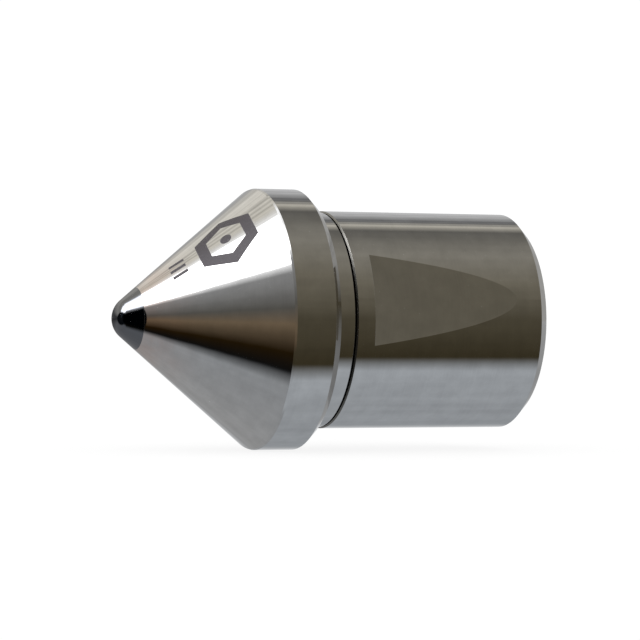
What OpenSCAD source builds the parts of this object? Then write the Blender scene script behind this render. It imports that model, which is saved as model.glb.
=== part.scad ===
// Live center with a straight tool shank and a short, wide 79 degree point.
//
// The point, its collar and the stem behind it turn as one piece.  The stem runs
// in an angular-contact ball bearing at the front, a thrust ball bearing in the
// middle and a needle bearing at the rear, all inside the hollow shank.  The whole
// stack is loaded from the rear and held by a threaded end plug.
//
// Frame: the turning axis is X, the point looks toward -X, +Z is up, and x = 0 is
// where the shank's straight wall begins, just behind the small chamfer on its front
// edge.  Sizes are millimetres.

/* [Shank] */
// Diameter of the straight tool shank
shank_d = 32; // [31:0.5:34]
// Distance from the start of the straight wall to the shank's rear face
shank_len = 30.05; // [29.95:0.05:45]
// Chamfer around the front edge of the shank
front_edge = 0.2; // [0.1:0.05:0.4]
// Chamfer around the rear end of the shank
rear_chamfer = 1.4; // [0.4:0.1:1.6]
// Distance from the start of the straight wall to the clamping flat
flat_start = 2.65; // [2.5:0.05:6]
// Depth of the clamping flat at its front end
flat_depth = 1.45; // [0.6:0.05:1.6]
// Slope of the clamping flat, which pulls the shank back into its holder
flat_angle = 3.75; // [2.5:0.25:5]
// Angle of the flat about the axis, measured from -Y toward +Z
flat_clock = 11.25; // [-45:0.25:45]

/* [Turning head] */
// Diameter of the collar behind the cone
collar_d = 38.2; // [36.5:0.1:44]
// Length of the collar
collar_len = 7.21; // [5:0.01:10]
// Chamfer on the rear edge of the collar
collar_chamfer = 1.2; // [0.2:0.1:1.4]
// Included angle of the cone
cone_angle = 79; // [74:0.5:84]
// Length of the neck behind the collar
neck_len = 2.95; // [2.4:0.01:6]
// Amount by which the neck is smaller across than the shank
neck_step = 0.3; // [0:0.1:1]
// Running gap between the neck and the shank
seam_gap = 0.24; // [0.2:0.02:0.4]

/* [Carbide insert] */
// Radius of the ball-shaped nose of the insert
nose_r = 3.5; // [2.6:0.1:3.6]
// Length of the insert that stands clear of the steel cone
insert_len = 3.45; // [3.2:0.05:4.5]
// Radius of the insert's round stem
insert_stem_r = 3.2; // [2:0.1:3.6]
// Depth of the socket that the stem is brazed into
insert_stem_len = 6; // [4:0.5:8]

/* [Front bearing] */
// Ball diameter of the angular-contact bearing
front_ball_d = 4.762; // [4.4:0.002:4.8]
// Number of balls in the angular-contact bearing
front_ball_n = 9; // [7:1:10]

/* [Thrust bearing] */
// Ball diameter of the thrust bearing
thrust_ball_d = 4.5; // [4.3:0.1:4.6]
// Number of balls in the thrust bearing
thrust_ball_n = 10; // [6:1:10]

/* [Needle bearing] */
// Diameter of each needle roller
needle_d = 1.48; // [1.4:0.02:1.5]
// Number of needle rollers
needle_n = 10; // [6:1:11]

/* [Hidden] */
$fn = 96;

// Shank
shank_r = shank_d / 2;
bore_r = 13;
wall_x = 2.5;
seal_bore_r = 9.6;
mouth_r = 8.6;
mouth_x = 0.5;
labyrinth_r = 11.5;
plug_recess = 0.3;

// Head, from the point rearward
collar_r = collar_d / 2;
neck_r = (shank_d - neck_step) / 2;
half_angle = cone_angle / 2;
neck_x1 = -front_edge - seam_gap;
collar_x1 = neck_x1 - neck_len;
collar_x0 = collar_x1 - collar_len;
apex_x = collar_x0 - collar_r / tan(half_angle);
nose_x = apex_x + nose_r / sin(half_angle);
cap_x = nose_x - nose_r * sin(half_angle);
cap_r = nose_r * cos(half_angle);
braze_x = nose_x - nose_r + insert_len;
braze_r = (braze_x - apex_x) * tan(half_angle);
rim_edge = 0.15;

// Stem journals
seal_land_r = 7;
journal_r = 5;
tail_r = 3;

// Bearing stack, as distances along the axis
bearing_w = 8;
front_x1 = wall_x + bearing_w;
front_mid = wall_x + bearing_w / 2;
front_pitch_r = 9;
groove_play = 0.05;
shim_t = 0.3;
thrust_x0 = front_x1 + shim_t;
thrust_len = 9;
washer_t = 2.6;
thrust_x1 = thrust_x0 + thrust_len;
thrust_mid = (thrust_x0 + thrust_x1) / 2;
thrust_pitch_r = 9.15;
sleeve_ir = 12.1;
spring_h = 0.8;
spring_t = 0.5;
plug_x0 = thrust_x1 + spring_h;
tab_x0 = plug_x0 + 0.1;
tab_t = 0.5;
nut_x0 = tab_x0 + tab_t;
nut_x1 = nut_x0 + 2.2;
thread_x1 = nut_x1 + 0.1;
nut_slot_w = 2;
cup_x0 = nut_x1 + 0.3;
cup_x1 = cup_x0 + 4.6;
cup_wall = 0.4;
cup_r = 5;
track_r = cup_r - 0.45;
tail_x1 = cup_x1 - 0.3;
needle_pitch_r = (tail_r + track_r) / 2 - 0.005;
needle_mid = (cup_x0 + cup_x1) / 2;
needle_len = 2.5;
plug_x1 = shank_len - plug_recess;
ring_x = plug_x0 + 1.6;
ring_r = 0.63;

// ---- helpers ------------------------------------------------------------------

// Solid of revolution about X from points [radius, x]
module turned(profile) {
    rotate([0, 90, 0]) rotate_extrude() polygon(profile);
}

// Plain tube about X
module tube(inner, outer, x0, x1) {
    turned([[inner, x0], [outer, x0], [outer, x1], [inner, x1]]);
}

// Round ring about X, also used to cut ball grooves
module donut(ring, section, x) {
    translate([x, 0, 0]) rotate([0, 90, 0])
        rotate_extrude() translate([ring, 0]) circle(r = section);
}

// Repeats its children evenly about X, starting at the top
module around(count) {
    for (i = [0 : count - 1]) rotate([i * 360 / count, 0, 0]) children();
}

// Balls, or the pockets for them, on a pitch circle
module ball_set(count, pitch, x, r) {
    around(count) translate([x, 0, pitch]) sphere(r = r);
}

// Needle rollers, or the slots for them
module needle_set(r, length) {
    around(needle_n) translate([needle_mid - length / 2, 0, needle_pitch_r])
        rotate([0, 90, 0]) cylinder(r = r, h = length);
}

// ---- stationary pieces --------------------------------------------------------

module shank_body() {
    // the flat is cut facing -Z, then the whole shank is turned to its clocking
    color("silver") rotate([-90 - flat_clock, 0, 0]) difference() {
        turned([
            [mouth_r, -front_edge], [labyrinth_r - 0.9, -front_edge],
            [labyrinth_r - 0.9, 1.2], [labyrinth_r + 0.9, 1.2],
            [labyrinth_r + 0.9, -front_edge], [shank_r - front_edge, -front_edge],
            [shank_r, 0],
            [shank_r, shank_len - rear_chamfer], [shank_r - rear_chamfer, shank_len],
            [bore_r + 0.3, shank_len], [bore_r, shank_len - 0.3], [bore_r, wall_x],
            [seal_bore_r, wall_x], [seal_bore_r, mouth_x], [mouth_r, mouth_x]
        ]);
        translate([flat_start, 0, flat_depth - shank_r]) rotate([0, flat_angle, 0])
            translate([0, -12, -3]) cube([40, 24, 3]);
    }
}

module seal_case() {
    color("slategray") turned([
        [seal_bore_r, mouth_x], [seal_bore_r, wall_x - 0.1], [8, wall_x - 0.1],
        [8, wall_x - 0.4], [9.25, wall_x - 0.4], [9.25, mouth_x]
    ]);
}

module shaft_seal() {
    color("black") turned([
        [9.25, 1.7], [9.25, 2.1], [7.5, 2.1], [seal_land_r + 0.02, 1.3],
        [seal_land_r + 0.02, 1.1], [7.6, 0.9], [8.3, 1.7]
    ]);
}

module garter_spring() {
    color("gray") donut(8.15, 0.34, 1);
}

module front_outer_race() {
    color("lightgray") difference() {
        turned([
            [bore_r, wall_x + 0.3], [bore_r, front_x1 - 0.3], [bore_r - 0.3, front_x1],
            [10.4, front_x1], [10.4, front_mid], [11.2, front_mid - 1],
            [11.2, wall_x], [bore_r - 0.3, wall_x]
        ]);
        donut(front_pitch_r, front_ball_d / 2 + groove_play, front_mid);
    }
}

module spacer_sleeve() {
    color("darkgray") tube(sleeve_ir, bore_r, front_x1, plug_x0);
}

module thrust_housing_washer() {
    color("lightgray") difference() {
        tube(6.5, sleeve_ir, thrust_x1 - washer_t, thrust_x1);
        donut(thrust_pitch_r, thrust_ball_d / 2 + groove_play, thrust_mid);
    }
}

module disc_spring() {
    color("dimgray") turned([
        [7.5, thrust_x1], [12, plug_x0 - spring_t],
        [12, plug_x0], [7.5, thrust_x1 + spring_t]
    ]);
}

module needle_cup() {
    color("lightgray") turned([
        [cup_r, cup_x0], [cup_r, cup_x1], [3.5, cup_x1], [3.5, cup_x1 - cup_wall],
        [track_r, cup_x1 - cup_wall], [track_r, cup_x0 + cup_wall],
        [3.5, cup_x0 + cup_wall], [3.5, cup_x0]
    ]);
}

module end_plug() {
    color("gray") difference() {
        turned([
            [8.2, plug_x0], [bore_r, plug_x0], [bore_r, ring_x - 0.8],
            [bore_r - 1.3, ring_x - 0.8], [bore_r - 1.3, ring_x + 0.8],
            [bore_r, ring_x + 0.8], [bore_r, plug_x1 - 0.5], [bore_r - 0.5, plug_x1],
            [0, plug_x1], [0, cup_x1 + 0.1], [cup_r, cup_x1 + 0.1],
            [cup_r, cup_x0], [8.2, cup_x0]
        ]);
        // holes for a pin spanner
        for (side = [-1, 1]) translate([plug_x1 - 3, side * 9.5, 0])
            rotate([0, 90, 0]) cylinder(d = 3, h = 4);
    }
}

module plug_o_ring() {
    color("black") donut(bore_r - 0.65, ring_r, ring_x);
}

// ---- pieces that turn with the point ------------------------------------------

module carbide_tip() {
    color("#26282c") union() {
        intersection() {
            translate([nose_x, 0, 0]) rotate([0, 90, 0]) sphere(r = nose_r);
            translate([cap_x - 5, -5, -5]) cube([5, 10, 10]);
        }
        turned([
            [0, cap_x], [cap_r, cap_x], [braze_r, braze_x], [insert_stem_r, braze_x],
            [insert_stem_r, braze_x + insert_stem_len - 0.4],
            [insert_stem_r - 0.4, braze_x + insert_stem_len],
            [0, braze_x + insert_stem_len]
        ]);
    }
}

module point_head() {
    color("gainsboro") difference() {
        turned([
            // socket for the insert
            [0, braze_x + insert_stem_len],
            [insert_stem_r - 0.4, braze_x + insert_stem_len],
            [insert_stem_r, braze_x + insert_stem_len - 0.4],
            [insert_stem_r, braze_x], [braze_r, braze_x],
            // cone and collar
            [collar_r - rim_edge * tan(half_angle), collar_x0 - rim_edge],
            [collar_r, collar_x0 + rim_edge],
            [collar_r, collar_x1 - collar_chamfer],
            [collar_r - collar_chamfer, collar_x1],
            // neck, with the rib that runs in the shank's labyrinth groove
            [neck_r + 0.3, collar_x1], [neck_r, collar_x1 + 0.3],
            [neck_r, neck_x1 - 0.08], [neck_r - 0.08, neck_x1],
            [labyrinth_r + 0.5, neck_x1], [labyrinth_r + 0.5, 0.8],
            [labyrinth_r - 0.5, 0.8], [labyrinth_r - 0.5, neck_x1],
            // stem
            [seal_land_r + 0.6, neck_x1], [seal_land_r, 0.1], [seal_land_r, wall_x],
            [journal_r, wall_x], [journal_r, thread_x1 - 0.4],
            [journal_r - 0.4, thread_x1], [tail_r, thread_x1],
            [tail_r, tail_x1 - 0.4], [tail_r - 0.4, tail_x1], [0, tail_x1]
        ]);
        // keyway for the tab washer
        translate([tab_x0 - 0.5, -0.95, 4.15]) cube([5, 1.9, 2]);
    }
}

module front_inner_race() {
    color("lightgray") difference() {
        turned([
            [journal_r, wall_x], [7.6, wall_x], [7.6, front_mid],
            [6.8, front_mid + 1], [6.8, front_x1], [journal_r, front_x1]
        ]);
        donut(front_pitch_r, front_ball_d / 2 + groove_play, front_mid);
    }
}

module preload_shim() {
    color("goldenrod") tube(journal_r, 7.2, front_x1, thrust_x0);
}

module thrust_shaft_washer() {
    color("lightgray") difference() {
        tube(journal_r, sleeve_ir - 0.3, thrust_x0, thrust_x0 + washer_t);
        donut(thrust_pitch_r, thrust_ball_d / 2 + groove_play, thrust_mid);
    }
}

module inner_spacer() {
    color("darkgray") tube(journal_r, 6.2, thrust_x0 + washer_t, tab_x0);
}

module tab_washer() {
    color("slategray") {
        difference() {
            tube(journal_r, 6.9, tab_x0, nut_x0);
            translate([tab_x0 - 1, -0.8, 0]) cube([3, 1.6, 5.6]);
        }
        // tab in the keyway, then the tabs around the rim
        translate([tab_x0, -0.8, 4.3]) cube([tab_t, 1.6, 2]);
        around(4) translate([tab_x0, -0.8, 6.5]) cube([tab_t, 1.6, 1.2]);
        // one rim tab is bent back into a slot of the nut
        translate([tab_x0, -0.8, 7.1]) cube([tab_t + 1.5, 1.6, 0.6]);
    }
}

module lock_nut() {
    color("dimgray") difference() {
        turned([
            [journal_r, nut_x0], [7.8, nut_x0], [7.8, nut_x1 - 0.3],
            [7.5, nut_x1], [journal_r, nut_x1]
        ]);
        around(4) translate([nut_x0 - 1, -nut_slot_w / 2, 6.9]) cube([5, nut_slot_w, 2]);
    }
}

// ---- rolling sets that orbit between the races --------------------------------

module front_balls() {
    color("white") ball_set(front_ball_n, front_pitch_r, front_mid, front_ball_d / 2);
}

module front_cage() {
    color("peru") difference() {
        tube(8.25, 9.75, front_mid - 3.1, front_mid + 3.1);
        ball_set(front_ball_n, front_pitch_r, front_mid, front_ball_d / 2 + 0.1);
    }
}

module thrust_balls() {
    color("white") ball_set(thrust_ball_n, thrust_pitch_r, thrust_mid, thrust_ball_d / 2);
}

module thrust_cage() {
    color("peru") difference() {
        tube(6.5, sleeve_ir - 0.3, thrust_mid - 0.8, thrust_mid + 0.8);
        ball_set(thrust_ball_n, thrust_pitch_r, thrust_mid, thrust_ball_d / 2 + 0.07);
    }
}

module needle_rollers() {
    color("white") needle_set(needle_d / 2, needle_len);
}

module needle_cage() {
    color("peru") difference() {
        tube(tail_r + 0.3, track_r - 0.3, needle_mid - 1.75, needle_mid + 1.75);
        needle_set(needle_d / 2 + 0.06, needle_len + 0.1);
    }
}

// ---- assembly -----------------------------------------------------------------

shank_body();
seal_case();
shaft_seal();
garter_spring();
front_outer_race();
spacer_sleeve();
thrust_housing_washer();
disc_spring();
needle_cup();
end_plug();
plug_o_ring();
carbide_tip();
point_head();
front_inner_race();
preload_shim();
thrust_shaft_washer();
inner_spacer();
tab_washer();
lock_nut();
front_balls();
front_cage();
thrust_balls();
thrust_cage();
needle_rollers();
needle_cage();
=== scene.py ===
import math

import bpy
from mathutils import Matrix, Vector


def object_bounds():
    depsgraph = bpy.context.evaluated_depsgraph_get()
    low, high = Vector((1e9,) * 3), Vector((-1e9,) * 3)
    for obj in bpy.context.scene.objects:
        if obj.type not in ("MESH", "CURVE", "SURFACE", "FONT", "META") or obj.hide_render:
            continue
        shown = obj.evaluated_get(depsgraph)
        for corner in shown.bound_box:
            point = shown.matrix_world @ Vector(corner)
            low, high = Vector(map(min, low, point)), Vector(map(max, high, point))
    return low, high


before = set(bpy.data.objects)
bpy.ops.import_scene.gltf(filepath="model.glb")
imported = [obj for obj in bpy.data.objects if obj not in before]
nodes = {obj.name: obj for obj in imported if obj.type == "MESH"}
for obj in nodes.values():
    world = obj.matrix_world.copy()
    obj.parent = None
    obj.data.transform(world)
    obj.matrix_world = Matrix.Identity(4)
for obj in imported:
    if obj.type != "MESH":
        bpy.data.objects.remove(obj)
cad_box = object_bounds()
scene = bpy.context.scene

MM = 0.001


# ---- camera --------------------------------------------------------------------

CAMERA_AZIMUTH = math.radians(-20.745)
CAMERA_ROLL = math.radians(0.349)
CAMERA_DISTANCE = 431.98 * MM
CAMERA_TARGET = Vector((0.119 * MM, 0, -0.04 * MM))
CAMERA_LENS = 164.8


CAMERA_BACK = Vector((math.sin(CAMERA_AZIMUTH), -math.cos(CAMERA_AZIMUTH), 0))
CAMERA_PLACE = CAMERA_TARGET + CAMERA_BACK * CAMERA_DISTANCE


def add_camera():
    level = Vector((math.cos(CAMERA_AZIMUTH), math.sin(CAMERA_AZIMUTH), 0))
    up = Vector((0, 0, 1))
    c, s = math.cos(CAMERA_ROLL), math.sin(CAMERA_ROLL)
    right, top = c * level + s * up, c * up - s * level
    data = bpy.data.cameras.new("camera")
    data.lens = CAMERA_LENS
    data.clip_start, data.clip_end = 0.01, 20
    camera = bpy.data.objects.new("camera", data)
    camera.matrix_world = Matrix(
        [(right[i], top[i], CAMERA_BACK[i], CAMERA_PLACE[i]) for i in range(3)]
        + [(0, 0, 0, 1)]
    )
    scene.collection.objects.link(camera)
    scene.camera = camera


# ---- node building -------------------------------------------------------------

def srgb(r, g, b):
    """Display colour, 0 to 255, as linear light."""
    return tuple(
        v / 12.92 if v <= 0.04045 else ((v + 0.055) / 1.055) ** 2.4
        for v in (r / 255, g / 255, b / 255)
    )


# where a Mix node keeps its colour sockets
COLOUR_A, COLOUR_B, COLOUR_OUT = 6, 7, 2


class Tree:
    """Short calls for building one node tree."""

    def __init__(self, tree):
        self.tree = tree

    def add(self, kind, inputs=None, **settings):
        """A node with its settings and inputs; an input is a value or another socket."""
        made = self.tree.nodes.new(kind)
        for name, value in settings.items():
            setattr(made, name, value)
        for name, value in (inputs or {}).items():
            self.put(made.inputs[name], value)
        return made

    def put(self, socket, value):
        if isinstance(value, bpy.types.NodeSocket):
            self.tree.links.new(value, socket)
        elif hasattr(socket.default_value, "__len__") and len(socket.default_value) == 4:
            socket.default_value = (*value[:3], 1)
        else:
            socket.default_value = value

    def math(self, operation, *values):
        made = self.add("ShaderNodeMath", operation=operation)
        for socket, value in zip(made.inputs, values):
            self.put(socket, value)
        return made.outputs[0]

    def between(self, value, low, high, to_low=0.0, to_high=1.0, smooth=False):
        """Carries low..high to to_low..to_high and holds the ends."""
        made = self.add("ShaderNodeMapRange", {
            "Value": value, "From Min": low, "From Max": high,
            "To Min": to_low, "To Max": to_high,
        }, interpolation_type="SMOOTHSTEP" if smooth else "LINEAR")
        return made.outputs["Result"]

    def blend(self, factor, first, second, kind="MIX"):
        """Mixes two colours."""
        made = self.add("ShaderNodeMix", data_type="RGBA", blend_type=kind)
        self.put(made.inputs["Factor"], factor)
        self.put(made.inputs[COLOUR_A], first)
        self.put(made.inputs[COLOUR_B], second)
        return made.outputs[COLOUR_OUT]

    def combine(self, x, y, z):
        made = self.add("ShaderNodeCombineXYZ", {"X": x, "Y": y, "Z": z})
        return made.outputs[0]

    def split(self, vector):
        made = self.add("ShaderNodeSeparateXYZ", {"Vector": vector})
        return made.outputs[0], made.outputs[1], made.outputs[2]

    def noise(self, vector, scale, detail=3.0, roughness=0.55):
        made = self.add("ShaderNodeTexNoise", {
            "Vector": vector, "Scale": scale, "Detail": detail, "Roughness": roughness,
        })
        return made.outputs[0]

    def ramp(self, factor, stops):
        made = self.add("ShaderNodeValToRGB", {"Fac": factor})
        elements = made.color_ramp.elements
        while len(elements) > 1:
            elements.remove(elements[-1])
        elements[0].position, elements[0].color = stops[0][0], (*stops[0][1], 1)
        for position, colour in stops[1:]:
            elements.new(position).color = (*colour, 1)
        return made.outputs["Color"]


# ---- studio: what the metal reflects -------------------------------------------

STEEL = (0.72, 0.715, 0.705)
SOFTBOX_GAIN = 4.0
SOFTBOX_ANGLES, SOFTBOX_LEAN = (62, 66, 108, 113), (-0.2, -0.5)
STREAK_ANGLES = (108, 114, 150, 172)
PLAIN_WHITE = 1.04
FLOOR_GLOW = 0.87
FLOOR_SIZE = 12.0
FLOOR_GAP = 0.02 * MM

# A bounce off the metal leans from straight ahead (its X is -1) to straight back (1).  Each
# pair says where one set of walls gives way to the next, or where the pole's middle is.
TO_BEHIND_HEAD = (-0.05, 0.33)
TO_BEHIND_HEAD_LOW, LOW_ANGLES = (-0.58, -0.42), (-92, -80, -32, -20)
TO_REAR_END = (0.45, 0.6)
TO_POLE, POLE_MIDDLE = (-0.88, -0.93), (-0.94, -1.0)

# The walls and lamps around the X axis, in round values set so that the steel looks
# roughly as photographed.  Each stop is (angle from -Y toward +Z in degrees, brightness seen
# in the steel from 0 to 255, warmth, and for some the red).
BEHIND_HEAD_BANDS = [
    # ceiling, then the pale floor
    (-180, 200, 0), (-150, 140, -0.4), (-55, 155, -0.5),
    # the dark room beyond the table
    (-40, 45, 1.6), (0, 65, 1.5),
    # a wall that is lighter upward
    (40, 100, 1.4), (75, 120, 1.0),
    # the gap under a long lamp, the lamp, and the ceiling
    (110, 90, 0.5), (120, 170, 1.2), (130, 100, 0), (150, 170, 0),
]
AHEAD_BANDS = [
    # ceiling, then the pale floor
    (-180, 60, 0), (-155, 140, 0), (-75, 135, -0.3),
    # the dark room beyond the table
    (-60, 15, 0), (-40, 20, 1.6, 6), (-5, 85, 2.0, 7),
    # a grey wall
    (15, 80, 0.5), (55, 130, 0),
    # a large softbox
    (65, 250, 0), (110, 250, 0),
    # ceiling
    (120, 190, 1.2), (150, 200, 1.0), (170, 90, 0),
]
REAR_END_BANDS = [
    # floor, dark room, wall
    (-180, 150, 0), (-150, 120, 0), (-60, 125, 0), (30, 65, 1.6), (100, 145, 0.3),
]

# A black card close to the point, seen only in the metal: part of a cylinder about X.
# Lengths are millimetres, angles degrees, and each span is (start, full, full end, end).
TIP_CARD_RADIUS = 8
TIP_CARD_ALONG, TIP_CARD_AROUND = (-60, -55, -34.4, -34.0), (-40, -36, 34, 40)
TIP_CARD_STRIPS = 48
TIP_CARD_SHADE = (3, -0.3)


# display levels that one step of warmth adds to red and takes from blue
OLIVE_RED, COOL_RED, BLUE = 3.5, 8, 8.5


def seen_in_steel(level, warmth, red=OLIVE_RED):
    """Light that shows this brightness once the steel has reflected it.

    Warmth is how far it leans to olive; below 0 it leans to a cool grey. A higher red
    turns the olive into brown.
    """
    red = COOL_RED if warmth < 0 else red
    colour = srgb(max(level + red * warmth, 0), level, max(level - BLUE * warmth, 0))
    return tuple(c / s for c, s in zip(colour, STEEL))


def band_ramp(t, angle, bands):
    """Colour ramp over the whole turn about X; the last shade holds to its end."""
    stops = [((a + 180) / 360, seen_in_steel(*shade)) for a, *shade in bands]
    return t.ramp(t.between(angle, -180, 180), stops)


def axis_angle(t, y, z):
    """Degrees about X from -Y toward +Z."""
    return t.math("DEGREES", t.math("ARCTAN2", z, t.math("MULTIPLY", y, -1.0)))


def span(t, value, start, full, full_end, end):
    """1 between the two full values, falling to 0 at start and end."""
    rise = t.between(value, start, full, smooth=True)
    return t.math("MULTIPLY", rise, t.between(value, end, full_end, smooth=True))


def add_studio():
    """A soft studio: even white light, and the bands of walls and lamps that metal shows."""
    world = bpy.data.worlds.new("studio")
    world.use_nodes = True
    world.cycles.sampling_method = "NONE"
    scene.world = world
    t = Tree(world.node_tree)
    world.node_tree.nodes.clear()

    direction = t.add("ShaderNodeTexCoord").outputs["Generated"]
    x, y, z = t.split(direction)
    angle = axis_angle(t, y, z)
    ahead = band_ramp(t, angle, AHEAD_BANDS)
    behind = band_ramp(t, angle, BEHIND_HEAD_BANDS)
    rear_end = band_ramp(t, angle, REAR_END_BANDS)
    # low down, the walls behind the head start further forward
    low = t.math("MULTIPLY", span(t, angle, *LOW_ANGLES), t.between(x, *TO_BEHIND_HEAD_LOW))
    turned_back = t.math("MAXIMUM", low, t.between(x, *TO_BEHIND_HEAD, smooth=True))
    bands = t.blend(turned_back, ahead, behind)
    bands = t.blend(t.between(x, *TO_REAR_END, smooth=True), bands, rear_end)
    # straight ahead it is dark
    middle = t.between(x, *POLE_MIDDLE)
    pole = t.blend(middle, seen_in_steel(20, -0.5), seen_in_steel(30, -0.3))
    bands = t.blend(t.between(x, *TO_POLE, smooth=True), bands, pole)

    # thin streaks in the upper part, and slow unevenness everywhere
    streak = t.noise(t.combine(t.math("MULTIPLY", angle, 0.22), 0.0, 0.0), 1.0, 5.0, 0.75)
    streak = t.between(streak, 0.35, 0.65, -0.42, 0.25)
    streak = t.math("MULTIPLY", streak, span(t, angle, *STREAK_ANGLES))
    cloud = t.between(t.noise(direction, 4.0, 4.0), 0.3, 0.7, 0.92, 1.07)
    uneven = t.math("MULTIPLY", t.math("ADD", 1.0, streak), cloud)
    bands = t.blend(1.0, bands, t.combine(uneven, uneven, uneven), "MULTIPLY")

    # the softbox itself is brighter than white
    box = t.math("MULTIPLY", span(t, angle, *SOFTBOX_ANGLES), t.between(x, *SOFTBOX_LEAN))
    gain = t.math("ADD", 1.0, t.math("MULTIPLY", box, SOFTBOX_GAIN - 1))

    path = t.add("ShaderNodeLightPath")
    plain = t.math("MAXIMUM", path.outputs["Is Camera Ray"], path.outputs["Is Diffuse Ray"])
    metal = t.add("ShaderNodeBackground", {"Color": bands, "Strength": gain})
    white = t.add("ShaderNodeBackground", {"Color": (1, 1, 1), "Strength": PLAIN_WHITE})
    mixed = t.add("ShaderNodeMixShader", {0: plain, 1: metal.outputs[0], 2: white.outputs[0]})
    t.add("ShaderNodeOutputWorld", {"Surface": mixed.outputs[0]})


def add_tip_card():
    """The black card that makes the insert look black at the front; only metal shows it."""
    first, last = TIP_CARD_AROUND[0], TIP_CARD_AROUND[-1]
    points, marks = [], []
    for x in (TIP_CARD_ALONG[0], TIP_CARD_ALONG[-1]):
        for i in range(TIP_CARD_STRIPS + 1):
            angle = first + (last - first) * i / TIP_CARD_STRIPS
            turn, radius = math.radians(angle), TIP_CARD_RADIUS * MM
            points.append((x * MM, -radius * math.cos(turn), radius * math.sin(turn)))
            marks.append((x, angle))
    row = TIP_CARD_STRIPS + 1
    faces = [(i, i + 1, i + row + 1, i + row) for i in range(TIP_CARD_STRIPS)]

    data = bpy.data.meshes.new("tip_card")
    data.from_pydata(points, [], faces)
    layer = data.uv_layers.new(name="marks")
    for loop in data.loops:
        layer.data[loop.index].uv = marks[loop.vertex_index]
    card = bpy.data.objects.new("tip_card", data)
    for seen in ("camera", "diffuse", "shadow", "transmission"):
        setattr(card, f"visible_{seen}", False)
    scene.collection.objects.link(card)

    material = bpy.data.materials.new("tip_card_shades")
    material.use_nodes = True
    material.node_tree.nodes.clear()
    t = Tree(material.node_tree)
    x, angle, _ = t.split(t.add("ShaderNodeTexCoord").outputs["UV"])
    cover = t.math("MULTIPLY", span(t, x, *TIP_CARD_ALONG), span(t, angle, *TIP_CARD_AROUND))
    shade = seen_in_steel(*TIP_CARD_SHADE)
    glow = t.add("ShaderNodeEmission", {"Color": shade, "Strength": 1.0})
    clear = t.add("ShaderNodeBsdfTransparent")
    mixed = t.add("ShaderNodeMixShader", {0: cover, 1: clear.outputs[0], 2: glow.outputs[0]})
    t.add("ShaderNodeOutputMaterial", {"Surface": mixed.outputs[0]})
    data.materials.append(material)


def add_floor():
    """Pale studio floor; it hardly darkens under the object and the metal doesn't show it."""
    top = cad_box[0].z - FLOOR_GAP
    half = FLOOR_SIZE / 2
    data = bpy.data.meshes.new("floor")
    corners = [(-half, -half), (half, -half), (half, half), (-half, half)]
    data.from_pydata([(a, b, top) for a, b in corners], [], [(0, 1, 2, 3)])
    floor = bpy.data.objects.new("floor", data)
    floor.visible_glossy = False
    scene.collection.objects.link(floor)

    material = bpy.data.materials.new("floor_paper")
    material.use_nodes = True
    t = Tree(material.node_tree)
    shader = material.node_tree.nodes["Principled BSDF"]
    shader.inputs["Specular IOR Level"].default_value = 0.0
    shader.inputs["Roughness"].default_value = 1.0
    grain = t.noise(t.add("ShaderNodeTexCoord").outputs["Object"], 900, 3.0)
    t.put(shader.inputs["Base Color"], t.blend(grain, (0.13, 0.13, 0.13), (0.16, 0.16, 0.16)))
    shader.inputs["Emission Color"].default_value = (1, 1, 1, 1)
    shader.inputs["Emission Strength"].default_value = FLOOR_GLOW
    data.materials.append(material)


# ---- materials -----------------------------------------------------------------

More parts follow.
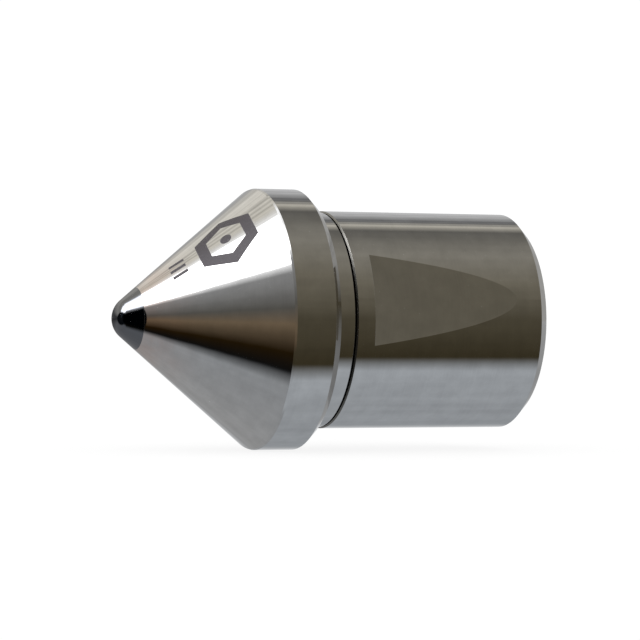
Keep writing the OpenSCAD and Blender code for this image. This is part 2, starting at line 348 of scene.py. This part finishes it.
class Finish:
    """A Principled material with coordinates that suit turned parts, in millimetres."""

    def __init__(self, name, metallic, roughness):
        self.material = bpy.data.materials.new(name)
        self.material.use_nodes = True
        self.t = Tree(self.material.node_tree)
        self.shader = self.material.node_tree.nodes["Principled BSDF"]
        self.shader.inputs["Metallic"].default_value = metallic
        self.shader.inputs["Roughness"].default_value = roughness
        self.normal = None
        t = self.t
        scaled = t.add("ShaderNodeVectorMath", {
            0: t.add("ShaderNodeTexCoord").outputs["Object"], 3: 1 / MM,
        }, operation="SCALE")
        self.place = scaled.outputs[0]
        self.x, self.y, self.z = t.split(self.place)
        across = t.combine(0.0, self.y, self.z)
        length = t.add("ShaderNodeVectorMath", {0: across}, operation="LENGTH")
        unit = t.add("ShaderNodeVectorMath", {0: across}, operation="NORMALIZE")
        _, self.uy, self.uz = t.split(unit.outputs[0])
        # grows along the axis on a cylinder and outward on a flat face
        outward = t.math("MULTIPLY", length.outputs["Value"], 0.83)
        self.along = t.math("ADD", self.x, outward)

    def rings(self, pitch, drift=0.8, detail=3.0):
        """Noise drawn out around the axis, as a lathe or grinding wheel leaves it."""
        t = self.t
        lines = t.combine(
            t.math("DIVIDE", self.along, pitch),
            t.math("MULTIPLY", self.uy, drift), t.math("MULTIPLY", self.uz, drift),
        )
        return t.noise(lines, 1.0, detail, 0.6)

    def streaks(self, count, stretch=0.12):
        """Noise drawn out along the axis."""
        t = self.t
        lines = t.combine(
            t.math("MULTIPLY", self.along, stretch),
            t.math("MULTIPLY", self.uy, count), t.math("MULTIPLY", self.uz, count),
        )
        return t.noise(lines, 1.0, 3.0, 0.6)

    def speckle(self, size, detail=3.0):
        """Even noise of this size in millimetres."""
        return self.t.noise(self.place, 1 / size, detail)

    def edges(self, reach):
        """Rounds the shading of sharp edges and returns how close a point is to one."""
        t = self.t
        soft = t.add("ShaderNodeBevel", {"Radius": reach * MM}, samples=6).outputs[0]
        hard = t.add("ShaderNodeNewGeometry").outputs["Normal"]
        facing = t.add("ShaderNodeVectorMath", {0: soft, 1: hard}, operation="DOT_PRODUCT")
        self.normal = soft
        return t.between(facing.outputs["Value"], 0.999, 0.93)

    def colour(self, value):
        self.t.put(self.shader.inputs["Base Color"], value)

    def roughness(self, value):
        self.t.put(self.shader.inputs["Roughness"], value)

    def bump(self, height, depth):
        """Depth in millimetres."""
        made = self.t.add("ShaderNodeBump", {
            "Height": height, "Strength": 1.0, "Distance": depth * MM,
        })
        if self.normal is not None:
            self.t.put(made.inputs["Normal"], self.normal)
        self.normal = made.outputs[0]
        self.t.put(self.shader.inputs["Normal"], self.normal)


def shade(colour, factor):
    return tuple(c * factor for c in colour)


def machined(name, colour, low, high, pitch=0.22, depth=0.0004, worn=0.35, dirt=0.12,
             edge_radius=0.12, grooves=0.5):
    """Turned or ground metal: rings round the axis, faint blotches, brighter edges."""
    f = Finish(name, 1.0, low)
    t = f.t
    edge = f.edges(edge_radius)
    rings, fine = f.rings(pitch), f.rings(pitch / 5, 2.5, 2.0)
    blotch = f.speckle(2.6)
    tone = t.blend(t.between(blotch, 0.35, 0.7), shade(colour, 1.0 - dirt), colour)
    tone = t.blend(t.between(rings, 0.35, 0.65, 0.0, grooves), tone, shade(colour, 1.06))
    tone = t.blend(t.math("MULTIPLY", edge, worn), tone, shade(colour, 1.2))
    f.colour(tone)
    mixed = t.math("ADD", t.math("MULTIPLY", fine, 0.6), t.math("MULTIPLY", blotch, 0.4))
    f.roughness(t.between(mixed, 0.35, 0.65, low, high))
    f.bump(t.math("ADD", rings, t.math("MULTIPLY", fine, 0.4)), depth)
    return f


def base(f):
    """The colour and roughness that a finish has so far, to be changed in places."""
    inputs = f.shader.inputs
    return (inputs[name].links[0].from_socket for name in ("Base Color", "Roughness"))


def facing_rear(f):
    """1 where the surface faces +X, -1 where it faces -X."""
    return f.t.split(f.t.add("ShaderNodeTexCoord").outputs["Normal"])[0]


# painted shade for the shank's front edge, deep in the seam
SEAM_SHADE = (0.21, 0.205, 0.19)


def ground_shank(name):
    """Ground steel; its front edge, deep in the seam, is painted dark as shade and made rougher.
    """
    f = machined(name, STEEL, 0.035, 0.08, pitch=0.3, depth=0.00015, edge_radius=0.03,
                 grooves=0.2)
    t = f.t
    # the faces toward the head, in the seam, get painted shade and more roughness
    seam_shade_and_roughness = t.between(facing_rear(f), -0.25, -0.45)
    colour, smooth = base(f)
    f.colour(t.blend(seam_shade_and_roughness, colour, SEAM_SHADE))
    f.roughness(t.math("MAXIMUM", smooth, t.math("MULTIPLY", seam_shade_and_roughness, 0.3)))
    return f.material


# the cone: half its angle, its apex, the insert's seam and its wide end, as in the CAD
HALF_ANGLE = math.radians(39.5)
APEX_X = -33.77
INSERT_X = -28.32
CONE_END_X = -10.6

# the etched marks, in millimetres on the cone's surface
MARK_X, MARK_ANGLE, MARK_SIZE, MARK_WIDTH, DOT_SIZE = -17.2, math.radians(57), 4.6, 1.75, 0.9
TICK_X, TICK_SPACING, TICK_LENGTH, TICK_WIDTH = -23.4, 1.35, 2.5, 0.6
MARK_SOFTNESS = 0.03
ETCHED = srgb(62, 57, 62)

HEAT_REACH = 8.0
HEAT_TINT = (1.03, 0.91, 0.87)
# painted shade for the head's back face, across the seam from the body
BACK_FACE_SHADE = (0.16, 0.155, 0.15)


def on_unrolled_cone(f, x, angle):
    """Millimetres along and across the cone's surface from a point on it, without stretch."""
    t = f.t
    slant = t.math("DIVIDE", t.math("SUBTRACT", f.x, APEX_X), math.cos(HALF_ANGLE))
    turn = t.math("ARCTAN2", f.z, t.math("MULTIPLY", f.y, -1.0))
    fan = t.math("MULTIPLY", t.math("SUBTRACT", turn, angle), math.sin(HALF_ANGLE))
    start = (x - APEX_X) / math.cos(HALF_ANGLE)
    along = t.math("SUBTRACT", t.math("MULTIPLY", slant, t.math("COSINE", fan)), start)
    return along, t.math("MULTIPLY", slant, t.math("SINE", fan))


def within(t, value, half_width):
    """1 where the value is within half_width of 0, with a thin soft edge."""
    away = t.math("ABSOLUTE", value)
    return t.between(away, half_width + MARK_SOFTNESS, half_width - MARK_SOFTNESS)


def etched_marks(f):
    """A plain hexagonal ring with a dot in it, and three dashes nearer the point."""
    t = f.t
    along, across = on_unrolled_cone(f, MARK_X, MARK_ANGLE)
    far, wide = t.math("ABSOLUTE", along), t.math("ABSOLUTE", across)
    # distance from the middle to the hexagon's side, by its slanted and its straight sides
    slanted = t.math("ADD", t.math("MULTIPLY", wide, math.cos(math.pi / 6)),
                     t.math("MULTIPLY", far, math.sin(math.pi / 6)))
    hexagon = t.math("MAXIMUM", slanted, far)
    ring = within(t, t.math("SUBTRACT", hexagon, MARK_SIZE - MARK_WIDTH / 2), MARK_WIDTH / 2)
    squared = t.math("ADD", t.math("MULTIPLY", along, along), t.math("MULTIPLY", across, across))
    dot = within(t, t.math("SQRT", squared), DOT_SIZE)
    marks = t.math("MAXIMUM", ring, dot)
    along, across = on_unrolled_cone(f, TICK_X, MARK_ANGLE)
    for i in (-1, 0, 1):
        line = within(t, t.math("SUBTRACT", across, i * TICK_SPACING), TICK_WIDTH / 2)
        dash = t.math("MULTIPLY", line, within(t, along, TICK_LENGTH / 2))
        marks = t.math("MAXIMUM", marks, dash)
    marks = t.math("MULTIPLY", marks, t.math("LESS_THAN", f.x, CONE_END_X - 0.3))
    return t.math("MULTIPLY", marks, t.between(f.speckle(0.08, 2.0), 0.26, 0.34, 0.75, 1.0))


def marked_head(name):
    """Bright turned steel with etched marks, a heat tint by the insert, and a rougher back face
    painted dark as shade across the seam.
    """
    f = machined(name, STEEL, 0.02, 0.055, pitch=0.35, depth=0.0001, edge_radius=0.03,
                 grooves=0.15)
    t = f.t
    marks = etched_marks(f)
    heat = t.between(f.x, INSERT_X + HEAT_REACH, INSERT_X, smooth=True)
    heat = t.math("MULTIPLY", heat, t.between(f.speckle(3.0), 0.35, 0.6, 0.4, 1.0))
    # the back face, across the seam from the body, is painted dark as shade and made rougher
    rough_shaded_back = t.math("GREATER_THAN", facing_rear(f), 0.9)

    colour, smooth = base(f)
    colour = t.blend(heat, colour, t.blend(1.0, colour, HEAT_TINT, "MULTIPLY"))
    colour = t.blend(rough_shaded_back, colour, BACK_FACE_SHADE)
    f.colour(t.blend(marks, colour, ETCHED))
    rough = t.math("MAXIMUM", t.math("MULTIPLY", marks, 0.5), t.math("MULTIPLY", rough_shaded_back, 0.3))
    f.roughness(t.math("MAXIMUM", smooth, rough))
    metal = t.math("SUBTRACT", 1.0, t.math("MULTIPLY", marks, 0.85))
    t.put(f.shader.inputs["Metallic"], metal)
    return f.material


def carbide(name):
    """Dark, lapped tungsten carbide."""
    f = Finish(name, 1.0, 0.04)
    t = f.t
    f.edges(0.04)
    grain, lap = f.speckle(0.05, 4.0), f.rings(0.12)
    f.colour(t.blend(grain, (0.18, 0.185, 0.20), (0.23, 0.235, 0.25)))
    f.roughness(t.between(lap, 0.35, 0.65, 0.05, 0.09))
    f.bump(t.math("ADD", grain, lap), 0.00005)
    return f.material


def bearing_steel(name):
    """Fine ground rings and washers."""
    colour = (0.66, 0.665, 0.68)
    return machined(name, colour, 0.12, 0.2, pitch=0.15, depth=0.0003).material


def turned_steel(name):
    """Plain turned sleeves."""
    colour = (0.52, 0.52, 0.525)
    return machined(name, colour, 0.24, 0.38, pitch=0.12, depth=0.0012, dirt=0.2).material


def oiled_plug(name):
    """Darker turned steel with a film of oil."""
    colour = (0.40, 0.395, 0.39)
    return machined(name, colour, 0.24, 0.4, pitch=0.18, depth=0.0012, dirt=0.25).material


def black_oxide(name):
    """Blackened steel, bright where its edges have rubbed."""
    colour = (0.12, 0.12, 0.128)
    return machined(name, colour, 0.3, 0.45, pitch=0.14, depth=0.001, worn=0.8).material


def pressed_steel(name):
    """Grey sheet steel with a fine grain."""
    f = Finish(name, 1.0, 0.35)
    t = f.t
    edge, grain = f.edges(0.08), f.speckle(0.3, 5.0)
    dark, light = (0.30, 0.31, 0.33), (0.46, 0.47, 0.49)
    f.colour(t.blend(edge, t.blend(grain, dark, light), (0.6, 0.6, 0.61)))
    f.roughness(t.between(grain, 0.3, 0.7, 0.28, 0.5))
    f.bump(grain, 0.004)
    return f.material


def rubber(name):
    """Black rubber with faint mould rings."""
    f = Finish(name, 0.0, 0.6)
    t = f.t
    grain, mould = f.speckle(0.09, 4.0), f.rings(0.5)
    f.colour(t.blend(grain, (0.012, 0.012, 0.013), (0.032, 0.032, 0.034)))
    f.roughness(t.between(mould, 0.3, 0.7, 0.45, 0.75))
    f.bump(grain, 0.006)
    return f.material


def brass(name):
    """Turned cage brass."""
    colour = (0.70, 0.52, 0.25)
    return machined(name, colour, 0.22, 0.36, pitch=0.1, depth=0.001, dirt=0.3).material


def polished(name):
    """Balls and needles: mirror bright with a few hair scratches."""
    f = Finish(name, 1.0, 0.05)
    t = f.t
    cloud, hair = f.speckle(0.8), f.streaks(30, 2.0)
    f.colour(t.blend(cloud, (0.70, 0.705, 0.72), (0.80, 0.80, 0.81)))
    f.roughness(t.between(hair, 0.4, 0.7, 0.04, 0.12))
    f.bump(hair, 0.0001)
    return f.material


def coiled_wire(name):
    """A ring that reads as a close-wound coil, by bumps and by painted shade between the turns.
    """
    f = Finish(name, 1.0, 0.25)
    t = f.t
    turns, slant = 150, 4
    around = t.math("MULTIPLY", t.math("ARCTAN2", f.z, f.y), turns)
    coil = t.math("SINE", t.math("ADD", around, t.math("MULTIPLY", f.x, slant)))
    height = t.between(coil, -1.0, 1.0)
    # painted shade in the grooves between the turns and a painted highlight on their crests
    f.colour(t.blend(height, (0.18, 0.18, 0.19), (0.58, 0.58, 0.60)))
    f.roughness(t.between(f.speckle(0.2), 0.3, 0.7, 0.2, 0.35))
    f.bump(height, 0.06)
    return f.material


FINISHES = {
    "shank_body": ground_shank,
    "point_head": marked_head,
    "carbide_tip": carbide,
    "end_plug": oiled_plug,
    "lock_nut": black_oxide,
    "disc_spring": black_oxide,
    "garter_spring": coiled_wire,
    "preload_shim": brass,
}
FINISHES.update(dict.fromkeys(["seal_case", "tab_washer"], pressed_steel))
FINISHES.update(dict.fromkeys(["shaft_seal", "plug_o_ring"], rubber))
FINISHES.update(dict.fromkeys(["spacer_sleeve", "inner_spacer"], turned_steel))
FINISHES.update(dict.fromkeys(["front_cage", "thrust_cage", "needle_cage"], brass))
FINISHES.update(dict.fromkeys(["front_balls", "thrust_balls", "needle_rollers"], polished))
FINISHES.update(dict.fromkeys([
    "front_outer_race", "front_inner_race", "thrust_housing_washer",
    "thrust_shaft_washer", "needle_cup",
], bearing_steel))


def dress_nodes():
    """Gives every CAD node its finish; nodes that share one share the material."""
    made = {}
    for name, node in nodes.items():
        finish = FINISHES[name]
        if finish not in made:
            made[finish] = finish(finish.__name__)
        for slot in node.material_slots:
            slot.material = made[finish]


# ---- scene ---------------------------------------------------------------------

add_camera()
add_studio()
add_tip_card()
add_floor()
dress_nodes()
scene.view_settings.view_transform = "Standard"
